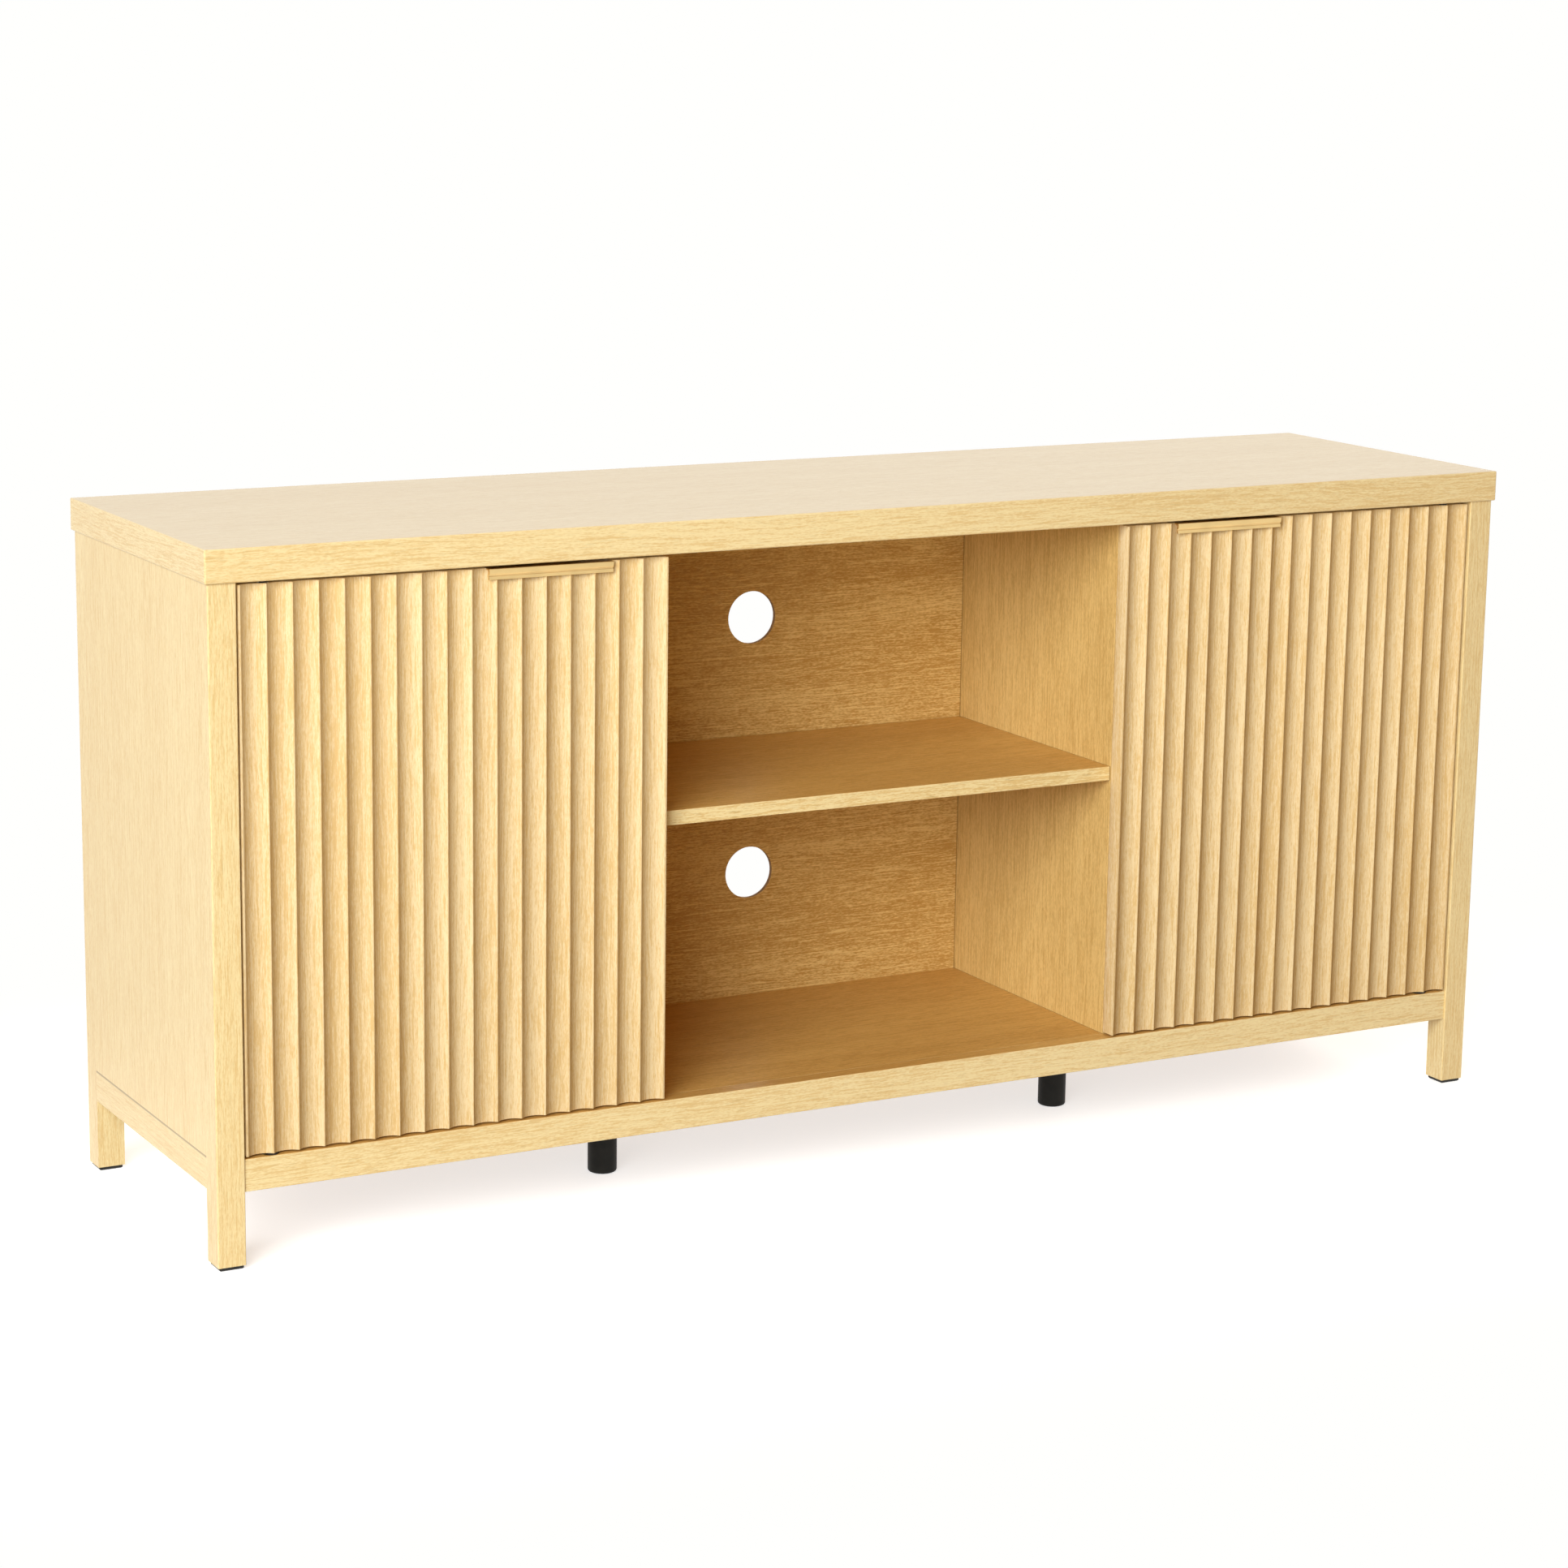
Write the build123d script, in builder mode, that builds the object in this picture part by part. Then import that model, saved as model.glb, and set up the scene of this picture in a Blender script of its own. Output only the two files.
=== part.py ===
"""Media cabinet: four-post frame, two pivoting fluted doors and an open middle bay.

Millimetres. +X runs along the width, +Y from front to back, +Z up.
The origin is on the floor, under the centre of the top.
"""
import os
from math import hypot

from build123d import *

# Overall size
WIDTH = 1473
DEPTH = 381
HEIGHT = 686

# Boards and posts
TOP_THICK = 32
TOP_OVERHANG = 3
TOP_EASE = 1.5
POST = 28
POST_EASE = 1.2
BOARD = 15
BOARD_EASE = 0.6
BACK_THICK = 5

# Base frame
RAIL_UNDERSIDE = 75
RAIL_HEIGHT = 32
RAIL_SETBACK = 2
LEDGE = 8
PAD_HEIGHT = 4
PAD_INSET = 2
PAD_CHAMFER = 1.2
PAD_NAIL = 5
PAD_NAIL_LENGTH = 16

# Middle bay and its back
BAY_WIDTH = 529
BAY_SHELF_TOP = 396
CABLE_SPACE = 45
CABLE_HOLE = 57
GROOVE_DEPTH = 5
GROOVE_PLAY = 0.3
GROOVE_LIP = 10
HOUSING = 3
SHELF_REAR_GAP = 1

# Doors
DOOR_THICK = 18
DOOR_SETBACK = 2
HINGE_GAP = 2.5
DOOR_TOP_GAP = 3
DOOR_BOTTOM_GAP = 2
FLUTE_COUNT = 17
FLUTE_DEPTH = 5
RIDGE_LAND = 0.8
DOOR_EDGE_LAND = 2
STOP_GAP = 1.5

# Pivot hinges
PIVOT_PIN = 7
PIVOT_BUSH = 11
PIVOT_COLLAR = 16
PIVOT_PLAY = 0.05
SEAT_PLAY = 0.05
LOWER_PIN_DOWN = 15
LOWER_PIN_UP = 16
UPPER_PIN_DOWN = 22
UPPER_PIN_UP = 10
BUSH_END = 3

# Edge pulls
PULL_LENGTH = 130
PULL_FROM_EDGE = 60
PULL_FLANGE = 1.5
PULL_FLANGE_DEPTH = 14
PULL_BEAD = 6
PULL_BEAD_PROUD = 3
PULL_LIP = 3.7
PULL_LIP_PROUD = 2
PULL_GROOVE = 0.8
PULL_SCREW_INSET = 22
PULL_SCREW_FROM_REAR = 4.5

# Adjustable side shelves
SIDE_SHELF_CLEARANCE = 8
SIDE_SHELF_GAP = 1
PIN_HOLE = 5
PIN_HOLE_DEPTH = 9
PIN_PITCH = 32
PIN_ROW = 366
PIN_INSET = 42
PIN_REACH = 10
PIN_LIP = 8
PIN_LIP_HEIGHT = 5

# Middle support legs
SUPPORT_LEG = 30
SUPPORT_FLANGE = 56
SUPPORT_FLANGE_THICK = 4
SUPPORT_ROUND = 3
SUPPORT_FROM_FRONT = 130
SUPPORT_SCREW_CIRCLE = 42
SUPPORT_SCREWS = 3

# Magnetic catches
CATCH_CHEEK = 5
CATCH_FLOOR = 2
CATCH_DEPTH = 18
CATCH_FROM_DIVIDER = 34
CATCH_TAB = 12
CATCH_TAB_THICK = 3
MAGNET_WIDTH = 30
MAGNET_HEIGHT = 10
MAGNET_DEPTH = 8
MAGNET_DROP = 13
STRIKE_WIDTH = 34
STRIKE_HEIGHT = 12
STRIKE_THICK = 1.2
CATCH_AIR = 0.3

# Small hardware
DOWEL = 8
DOWEL_IN_FACE = 10
DOWEL_IN_END = 25
DOWEL_END_ROOM = 0.5
PANEL_DOWEL_INSET = 80
SHELF_DOWEL_FRONT = 40
SHELF_DOWEL_REAR = 27
DOWEL_WALL = 2
RAIL_DOWEL_UP = 9
SCREW = 3
SCREW_HEAD = 6
SCREW_HEAD_HEIGHT = 1.5
SCREW_LENGTH = 12
BUMPER = 8
BUMPER_THICK = 1.3
BUMPER_INSET = 45

# Planes that the pieces share
post_out = WIDTH / 2 - TOP_OVERHANG
post_in = post_out - POST
frame_rear = DEPTH / 2 - TOP_OVERHANG
frame_front = -frame_rear
top_under = HEIGHT - TOP_THICK
base_top = RAIL_UNDERSIDE + RAIL_HEIGHT
base_floor_under = base_top - BOARD
side_inner = post_out - BOARD
rail_thick = POST - RAIL_SETBACK
bay_side = BAY_WIDTH / 2
divider_outer = bay_side + BOARD
back_rear = frame_rear - CABLE_SPACE
back_front = back_rear - BACK_THICK
door_front = frame_front + DOOR_SETBACK
door_back = door_front + DOOR_THICK
divider_front = door_back + STOP_GAP
divider_rear = back_rear + GROOVE_LIP
door_bottom = base_top + DOOR_BOTTOM_GAP
door_top = top_under - DOOR_TOP_GAP
door_hinge_edge = -post_in + HINGE_GAP
door_free_edge = -bay_side
door_width = door_free_edge - door_hinge_edge
flute_pitch = (door_width - 2 * DOOR_EDGE_LAND + RIDGE_LAND) / FLUTE_COUNT
flute_width = flute_pitch - RIDGE_LAND
pivot_x = door_hinge_edge + DOOR_EDGE_LAND + flute_pitch - RIDGE_LAND / 2
pivot_y = door_front + DOOR_THICK / 2
heel_reach = hypot(pivot_x - door_hinge_edge, DOOR_THICK / 2)
lower_bush_length = LOWER_PIN_UP + DOWEL_END_ROOM + BUSH_END
upper_sleeve_length = UPPER_PIN_DOWN + BUSH_END
upper_bush_length = UPPER_PIN_UP + DOWEL_END_ROOM + BUSH_END
bay_shelf_under = BAY_SHELF_TOP - BOARD
upper_bay_middle = (BAY_SHELF_TOP + top_under) / 2
lower_bay_middle = (base_top + bay_shelf_under) / 2
divider_middle = bay_side + BOARD / 2
side_shelf_front = pivot_y + heel_reach + SIDE_SHELF_CLEARANCE
side_shelf_rear = back_front - SHELF_REAR_GAP
pin_ys = (side_shelf_front + PIN_INSET, side_shelf_rear - PIN_INSET)
shelf_dowel_ys = (divider_front + SHELF_DOWEL_FRONT, back_front - SHELF_DOWEL_REAR)
support_foot = (-divider_middle, -DEPTH / 2 + SUPPORT_FROM_FRONT, 0)
catch_x = -divider_outer - CATCH_FROM_DIVIDER
catch_width = MAGNET_WIDTH + 2 * CATCH_CHEEK
catch_height = MAGNET_DROP + MAGNET_HEIGHT / 2 + CATCH_FLOOR
catch_front = door_back + STRIKE_THICK + CATCH_AIR


def across(points):
    """The same points on the right-hand side."""
    return [(-x, y, z) for x, y, z in points]


# Screw places, at the face of each head
catch_tab_out = (catch_width + CATCH_TAB) / 2
left_catch_screws = [(catch_x + step, catch_front + CATCH_DEPTH / 2, top_under - CATCH_TAB_THICK)
                     for step in (-catch_tab_out, catch_tab_out)]
right_catch_screws = across(left_catch_screws)
support_screw_circle = PolarLocations(SUPPORT_SCREW_CIRCLE / 2, SUPPORT_SCREWS).local_locations
left_support_screws = [(support_foot[0] + spot.position.X, support_foot[1] + spot.position.Y,
                        base_floor_under - SUPPORT_FLANGE_THICK) for spot in support_screw_circle]
right_support_screws = across(left_support_screws)

# Dowel joints: where each board end meets a face, and the way into the face
UP = (0, 0, 1)
DOWN = (0, 0, -1)
post_middle = post_out - POST / 2
post_depth_middle = frame_rear - POST / 2
rail_solid_middle = frame_rear - RAIL_SETBACK - (rail_thick - LEDGE) / 2
side_rail_middle = post_out - (POST - LEDGE) / 2
side_panel_middle = post_out - BOARD / 2
post_inner_y = frame_rear - POST
panel_dowel_zs = (base_top + PANEL_DOWEL_INSET, top_under - PANEL_DOWEL_INSET)
rail_dowel_z = RAIL_UNDERSIDE + RAIL_DOWEL_UP
bay_shelf_middle = BAY_SHELF_TOP - BOARD / 2
panel_dowel_in_end = CABLE_SPACE - POST - GROOVE_PLAY - DOWEL_END_ROOM - DOWEL_WALL

top_post_joints = [(x, y, top_under) for x in (-post_middle, post_middle)
                   for y in (-post_depth_middle, post_depth_middle)]
divider_ends = (base_top - HOUSING, top_under + HOUSING)
floor_divider_joints = [(x, y, divider_ends[0]) for x in (-divider_middle, divider_middle)
                        for y in shelf_dowel_ys]
top_divider_joints = [(x, y, divider_ends[1]) for x, y, _ in floor_divider_joints]


def rail_joints(x_sign):
    """Ends of the front and rear rails, on one pair of posts."""
    return [(x_sign * post_in, y, rail_dowel_z) for y in (-rail_solid_middle, rail_solid_middle)]


def side_rail_joints(x_sign, y_sign):
    """The end of one side's rail, on its front (-1) or rear (1) post."""
    return [(x_sign * side_rail_middle, y_sign * post_inner_y, RAIL_UNDERSIDE + RAIL_HEIGHT / 2)]


def side_panel_joints(x_sign, y_sign):
    """The upright edge of one side's panel, on its front (-1) or rear (1) post."""
    return [(x_sign * side_panel_middle, y_sign * post_inner_y, z) for z in panel_dowel_zs]


def shelf_joints(x_sign):
    """Ends of the middle shelf, on one divider."""
    return [(x_sign * bay_side, y, bay_shelf_middle) for y in shelf_dowel_ys]


def opposite(way):
    return tuple(-step for step in way)


def block(x, y, z, mode=Mode.ADD):
    """A rectangular board between two limits on each axis."""
    with BuildSketch(Plane.XY.offset(z[0])) as outline:
        with Locations(((x[0] + x[1]) / 2, (y[0] + y[1]) / 2)):
            Rectangle(x[1] - x[0], y[1] - y[0])
    extrude(outline.sketch, amount=z[1] - z[0], mode=mode)


def rod(points, way, diameter, length, mode=Mode.ADD):
    """Round bars, or holes, that start at each point and run one way."""
    with Locations(*[Plane(origin=point, z_dir=way) for point in points]):
        Cylinder(diameter / 2, length, align=(Align.CENTER, Align.CENTER, Align.MIN), mode=mode)


def drill_end(points, way_into_face, depth=DOWEL_IN_END):
    """Dowel holes in the end of a board; the way is the one into its neighbour's face."""
    rod(points, opposite(way_into_face), DOWEL + 2 * SEAT_PLAY, depth + DOWEL_END_ROOM, Mode.SUBTRACT)


def drill_face(points, way_into_face):
    """Dowel holes in the face of a board."""
    rod(points, way_into_face, DOWEL + 2 * SEAT_PLAY, DOWEL_IN_FACE + DOWEL_END_ROOM, Mode.SUBTRACT)


def screw_hole(points, way):
    """Room for countersunk screws whose head faces stand at the points."""
    with Locations(*[Plane(origin=point, z_dir=way) for point in points]):
        Cylinder(SCREW / 2 + SEAT_PLAY, SCREW_LENGTH + DOWEL_END_ROOM, mode=Mode.SUBTRACT,
                 align=(Align.CENTER, Align.CENTER, Align.MIN))
        Cone(SCREW_HEAD / 2, SCREW / 2, SCREW_HEAD_HEIGHT, mode=Mode.SUBTRACT,
             align=(Align.CENTER, Align.CENTER, Align.MIN))


def screws(points, way):
    """Countersunk screws whose head faces stand at the points."""
    with BuildPart() as group:
        with Locations(*[Plane(origin=point, z_dir=way) for point in points]):
            Cone(SCREW_HEAD / 2, SCREW / 2, SCREW_HEAD_HEIGHT,
                 align=(Align.CENTER, Align.CENTER, Align.MIN))
            Cylinder(SCREW / 2, SCREW_LENGTH, align=(Align.CENTER, Align.CENTER, Align.MIN))
    return group


def divider_housings(front, z):
    """Shallow slots that the ends of both dividers stand in."""
    for middle_x in (-divider_middle, divider_middle):
        block((middle_x - BOARD / 2, middle_x + BOARD / 2), (front, divider_rear), z, Mode.SUBTRACT)


def turn(points, foot):
    """Revolve half a section, given as (radius, height), about an upright line at the foot."""
    with BuildSketch(Plane(origin=foot, x_dir=(1, 0, 0), z_dir=(0, -1, 0))) as half:
        with BuildLine():
            Polyline(*points, close=True)
        make_face()
    revolve(half.sketch, axis=Axis(foot, UP))


def mirrored(left):
    """The right-hand twin of a left-hand piece."""
    with BuildPart() as right:
        mirror(left.part, about=Plane.YZ)
    return right


def save(piece, name):
    piece.part.label = name
    export_step(piece.part, f"parts/{name}.step")


def save_pair(left, name):
    save(left, f"left_{name}")
    save(mirrored(left), f"right_{name}")


os.makedirs("parts", exist_ok=True)

# Top: one thick slab with eased edges, grooved below for the three back panels
with BuildPart() as top_panel:
    block((-WIDTH / 2, WIDTH / 2), (-DEPTH / 2, DEPTH / 2), (top_under, HEIGHT))
    fillet(top_panel.edges(), TOP_EASE)
    groove_end = side_inner + GROOVE_DEPTH
    block((-groove_end, groove_end), (back_front, back_rear + GROOVE_PLAY),
          (top_under, top_under + GROOVE_DEPTH), Mode.SUBTRACT)
    divider_housings(divider_front, (top_under, divider_ends[1]))
    drill_face(top_post_joints + top_divider_joints, UP)
    rod([(x, pivot_y, top_under) for x in (pivot_x, -pivot_x)], UP,
        PIVOT_BUSH + 2 * SEAT_PLAY, upper_bush_length, Mode.SUBTRACT)
    screw_hole(left_catch_screws + right_catch_screws, UP)
save(top_panel, "top_panel")


def post(y_sign):
    """A square post of the left side: front with y_sign -1, rear with 1."""
    with BuildPart() as piece:
        y_limits = sorted((y_sign * (frame_rear - POST), y_sign * frame_rear))
        block((-post_out, -post_in), y_limits, (PAD_HEIGHT, top_under))
        fillet(piece.edges().filter_by(Axis.Z).sort_by(Axis.Y, reverse=y_sign > 0)[:2], POST_EASE)
        drill_end([(-post_middle, y_sign * post_depth_middle, top_under)], UP)
        drill_face(side_rail_joints(-1, y_sign) + side_panel_joints(-1, y_sign), (0, y_sign, 0))
        drill_face([point for point in rail_joints(-1) if point[1] * y_sign > 0], (-1, 0, 0))
        rod([(-post_middle, y_sign * post_depth_middle, PAD_HEIGHT)], UP,
            PAD_NAIL + 2 * SEAT_PLAY, PAD_NAIL_LENGTH + DOWEL_END_ROOM, Mode.SUBTRACT)
    return piece


save_pair(post(-1), "front_post")
save_pair(post(1), "rear_post")

# Pads under the posts, each with a nail that holds it
with BuildPart() as leg_pads:
    pad_width = POST - 2 * PAD_INSET
    for corner_x, corner_y, _ in top_post_joints:
        block((corner_x - pad_width / 2, corner_x + pad_width / 2),
              (corner_y - pad_width / 2, corner_y + pad_width / 2), (0, PAD_HEIGHT))
    chamfer(leg_pads.edges().group_by(Axis.Z)[0], PAD_CHAMFER)
    rod([(x, y, PAD_HEIGHT) for x, y, _ in top_post_joints], UP, PAD_NAIL, PAD_NAIL_LENGTH)
save(leg_pads, "leg_pads")

# Side: a rail with a ledge for the floor, and a panel standing on it, both flush with the posts
with BuildPart() as left_side_rail:
    block((-post_out, -post_in), (-post_inner_y, post_inner_y), (RAIL_UNDERSIDE, base_top))
    block((-post_in - LEDGE, -post_in), (-post_inner_y, post_inner_y),
          (base_floor_under, base_top), Mode.SUBTRACT)
    block((-side_inner - GROOVE_DEPTH, -post_in), (back_front, back_rear + GROOVE_PLAY),
          (base_top - GROOVE_DEPTH, base_top), Mode.SUBTRACT)
    for end_sign in (-1, 1):
        drill_end(side_rail_joints(-1, end_sign), (0, end_sign, 0))
save_pair(left_side_rail, "side_rail")

with BuildPart() as left_side_panel:
    block((-post_out, -side_inner), (-post_inner_y, post_inner_y), (base_top, top_under))
    block((-side_inner - GROOVE_DEPTH, -side_inner), (back_front, back_rear + GROOVE_PLAY),
          (base_top, top_under), Mode.SUBTRACT)
    for end_sign in (-1, 1):
        drill_end(side_panel_joints(-1, end_sign), (0, end_sign, 0), panel_dowel_in_end)
    pin_zs = [PIN_ROW + PIN_PITCH * step for step in (-1, 0, 1)]
    rod([(-side_inner, y, z) for y in pin_ys for z in pin_zs], (-1, 0, 0),
        PIN_HOLE + 2 * SEAT_PLAY, PIN_HOLE_DEPTH, Mode.SUBTRACT)
save_pair(left_side_panel, "side_panel")


def long_rail(y_sign):
    """The front (-1) or rear (1) rail, with the ledge that carries the floor."""
    outer = frame_rear - RAIL_SETBACK
    inner = outer - rail_thick
    with BuildPart() as piece:
        block((-post_in, post_in), sorted((y_sign * inner, y_sign * outer)),
              (RAIL_UNDERSIDE, base_top))
        fillet(piece.edges().filter_by(Axis.X).sort_by(Axis.Y, reverse=y_sign > 0)[:2], BOARD_EASE)
        block((-post_in, post_in), sorted((y_sign * inner, y_sign * (inner + LEDGE))),
              (base_floor_under, base_top), Mode.SUBTRACT)
        for x_sign in (-1, 1):
            ends = [point for point in rail_joints(x_sign) if point[1] * y_sign > 0]
            drill_end(ends, (x_sign, 0, 0))
        if y_sign < 0:
            rod([(x, pivot_y, base_top) for x in (pivot_x, -pivot_x)], DOWN,
                PIVOT_PIN + 2 * SEAT_PLAY, LOWER_PIN_DOWN + DOWEL_END_ROOM, Mode.SUBTRACT)
    return piece


save(long_rail(-1), "front_rail")
save(long_rail(1), "rear_rail")

# Floor: one board that lies on the ledges of all four rails
with BuildPart() as bottom_panel:
    floor_half_width = post_in + LEDGE - GROOVE_PLAY
    floor_half_depth = frame_rear - POST + LEDGE - GROOVE_PLAY
    block((-floor_half_width, floor_half_width), (-floor_half_depth, floor_half_depth),
          (base_floor_under, base_top))
    corner_x_in = post_in - GROOVE_PLAY
    corner_y_in = post_inner_y - GROOVE_PLAY
    for corner_x in ((-floor_half_width, -corner_x_in), (corner_x_in, floor_half_width)):
        for corner_y in ((-floor_half_depth, -corner_y_in), (corner_y_in, floor_half_depth)):
            block(corner_x, corner_y, (base_floor_under, base_top), Mode.SUBTRACT)
    block((-floor_half_width, floor_half_width), (back_front, back_rear + GROOVE_PLAY),
          (base_top - GROOVE_DEPTH, base_top), Mode.SUBTRACT)
    divider_housings(-floor_half_depth, (divider_ends[0], base_top))
    drill_face(floor_divider_joints, DOWN)
    screw_hole(left_support_screws + right_support_screws, UP)
save(bottom_panel, "bottom_panel")

# Divider between a side cabinet and the middle bay, grooved on both faces for the backs
with BuildPart() as left_divider:
    block((-divider_outer, -bay_side), (divider_front, divider_rear), divider_ends)
    fillet(left_divider.edges().filter_by(Axis.Z).sort_by(Axis.Y)[:2], BOARD_EASE)
    for groove_start in (-divider_outer, -bay_side - GROOVE_DEPTH):
        block((groove_start, groove_start + GROOVE_DEPTH), (back_front, back_rear + GROOVE_PLAY),
              divider_ends, Mode.SUBTRACT)
    drill_end([point for point in top_divider_joints if point[0] < 0], UP)
    drill_end([point for point in floor_divider_joints if point[0] < 0], DOWN)
    drill_face(shelf_joints(-1), (-1, 0, 0))
    rod([(-divider_outer, y, z) for y in pin_ys for z in pin_zs], (1, 0, 0),
        PIN_HOLE + 2 * SEAT_PLAY, PIN_HOLE_DEPTH, Mode.SUBTRACT)
save_pair(left_divider, "divider")

with BuildPart() as middle_shelf:
    block((-bay_side, bay_side), (divider_front, side_shelf_rear), (bay_shelf_under, BAY_SHELF_TOP))
    fillet(middle_shelf.edges().filter_by(Axis.X).sort_by(Axis.Y)[:2], BOARD_EASE)
    for end_sign in (-1, 1):
        drill_end(shelf_joints(end_sign), (end_sign, 0, 0))
save(middle_shelf, "middle_shelf")

# Backs: thin panels that slide in the grooves, the middle one with two cable holes
back_z = (base_top - GROOVE_DEPTH, top_under + GROOVE_DEPTH - GROOVE_PLAY)

with BuildPart() as middle_back_panel:
    back_reach = bay_side + GROOVE_DEPTH - GROOVE_PLAY
    block((-back_reach, back_reach), (back_front, back_rear), back_z)
    rod([(0, back_front, upper_bay_middle), (0, back_front, lower_bay_middle)], (0, 1, 0),
        CABLE_HOLE, BACK_THICK, Mode.SUBTRACT)
save(middle_back_panel, "middle_back_panel")

with BuildPart() as left_back_panel:
    block((-side_inner - GROOVE_DEPTH + GROOVE_PLAY, -divider_outer + GROOVE_DEPTH - GROOVE_PLAY),
          (back_front, back_rear), back_z)
save_pair(left_back_panel, "back_panel")

# Side cabinets: one loose shelf each, on four pins
with BuildPart() as left_shelf:
    pin_top = PIN_ROW + PIN_LIP_HEIGHT / 2
    block((-side_inner + SIDE_SHELF_GAP, -divider_outer - SIDE_SHELF_GAP),
          (side_shelf_front, side_shelf_rear), (pin_top, pin_top + BOARD))
    fillet(left_shelf.edges().filter_by(Axis.X).sort_by(Axis.Y)[:2], BOARD_EASE)
save_pair(left_shelf, "shelf")

with BuildPart() as shelf_pins:
    pin_lip_z = (PIN_ROW - PIN_LIP_HEIGHT / 2, PIN_ROW + PIN_LIP_HEIGHT / 2)
    for wall_x, inward in ((-side_inner, 1), (-divider_outer, -1), (divider_outer, 1), (side_inner, -1)):
        for pin_y in pin_ys:
            block(sorted((wall_x, wall_x + inward * PIN_REACH)),
                  (pin_y - PIN_LIP / 2, pin_y + PIN_LIP / 2), pin_lip_z)
        rod([(wall_x, pin_y, PIN_ROW) for pin_y in pin_ys], (-inward, 0, 0),
            PIN_HOLE, PIN_HOLE_DEPTH - DOWEL_END_ROOM)
save(shelf_pins, "shelf_pins")

# Middle support legs: a post with a screwed flange, under each divider
with BuildPart() as left_support_leg:
    flange_under = base_floor_under - SUPPORT_FLANGE_THICK
    turn([(0, 0), (SUPPORT_LEG / 2, 0), (SUPPORT_LEG / 2, flange_under),
          (SUPPORT_FLANGE / 2, flange_under), (SUPPORT_FLANGE / 2, base_floor_under),
          (0, base_floor_under)], support_foot)
    fillet(left_support_leg.edges().group_by(Axis.Z)[0], SUPPORT_ROUND)
    screw_hole(left_support_screws, UP)
save_pair(left_support_leg, "support_leg")
save(screws(left_support_screws + right_support_screws, UP), "support_leg_screws")

# Door: one board with a row of concave flutes down its front
pull_x = (door_free_edge - PULL_FROM_EDGE - PULL_LENGTH, door_free_edge - PULL_FROM_EDGE)
pull_screws = [(x, door_front + PULL_FLANGE_DEPTH - PULL_SCREW_FROM_REAR, door_top)
               for x in (pull_x[0] + PULL_SCREW_INSET, pull_x[1] - PULL_SCREW_INSET)]
strike_z = top_under - MAGNET_DROP
strike_screws = [(catch_x, door_back + STRIKE_THICK, strike_z)]

with BuildPart() as left_door:
    with BuildSketch(Plane.XY.offset(door_bottom)):
        with BuildLine():
            Polyline((door_hinge_edge + DOOR_EDGE_LAND, door_front), (door_hinge_edge, door_front),
                     (door_hinge_edge, door_back), (door_free_edge, door_back),
                     (door_free_edge, door_front), (door_free_edge - DOOR_EDGE_LAND, door_front))
            for flute in range(FLUTE_COUNT):
                flute_start = door_hinge_edge + DOOR_EDGE_LAND + flute * flute_pitch
                flute_end = flute_start + flute_width
                ThreePointArc((flute_start, door_front),
                              (flute_start + flute_width / 2, door_front + FLUTE_DEPTH),
                              (flute_end, door_front))
                if flute < FLUTE_COUNT - 1:
                    Line((flute_end, door_front), (flute_end + RIDGE_LAND, door_front))
        make_face()
    extrude(amount=door_top - door_bottom)
    block((pull_x[0] - SEAT_PLAY, pull_x[1] + SEAT_PLAY),
          (door_front, door_front + PULL_FLANGE_DEPTH + SEAT_PLAY),
          (door_top - PULL_FLANGE, door_top), Mode.SUBTRACT)
    screw_hole(pull_screws, DOWN)
    screw_hole(strike_screws, (0, -1, 0))
    rod([(pivot_x, pivot_y, door_bottom)], UP, PIVOT_BUSH + 2 * SEAT_PLAY, lower_bush_length,
        Mode.SUBTRACT)
    rod([(pivot_x, pivot_y, door_top)], DOWN, PIVOT_BUSH + 2 * SEAT_PLAY, upper_sleeve_length,
        Mode.SUBTRACT)
save_pair(left_door, "door")

# Edge pull: a flange let into the door's top edge, with a bead and a lip in front
with BuildPart() as left_handle:
    with BuildSketch(Plane.YZ.offset(pull_x[0])):
        with BuildLine():
            bead_under = door_top - PULL_BEAD
            lip_top = bead_under - PULL_GROOVE
            lip_under = lip_top - PULL_LIP
            bead_face = door_front - PULL_BEAD_PROUD
            lip_face = door_front - PULL_LIP_PROUD
            groove_face = lip_face + PULL_GROOVE
            Polyline((groove_face, bead_under), (groove_face, lip_top), (lip_face, lip_top),
                     (lip_face, lip_under), (door_front, lip_under),
                     (door_front, door_top - PULL_FLANGE),
                     (door_front + PULL_FLANGE_DEPTH, door_top - PULL_FLANGE),
                     (door_front + PULL_FLANGE_DEPTH, door_top), (lip_face, door_top))
            ThreePointArc((lip_face, door_top), (bead_face, door_top - PULL_BEAD / 2),
                          (lip_face, bead_under))
            Line((lip_face, bead_under), (groove_face, bead_under))
        make_face()
    extrude(amount=PULL_LENGTH)
    screw_hole(pull_screws, DOWN)
save_pair(left_handle, "handle")
save_pair(screws(pull_screws, DOWN), "handle_screws")


def turned(points, height):
    """A piece turned about the left door's pivot axis, with its section measured from a height."""
    with BuildPart() as piece:
        turn(points, (pivot_x, pivot_y, height))
    return piece


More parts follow.
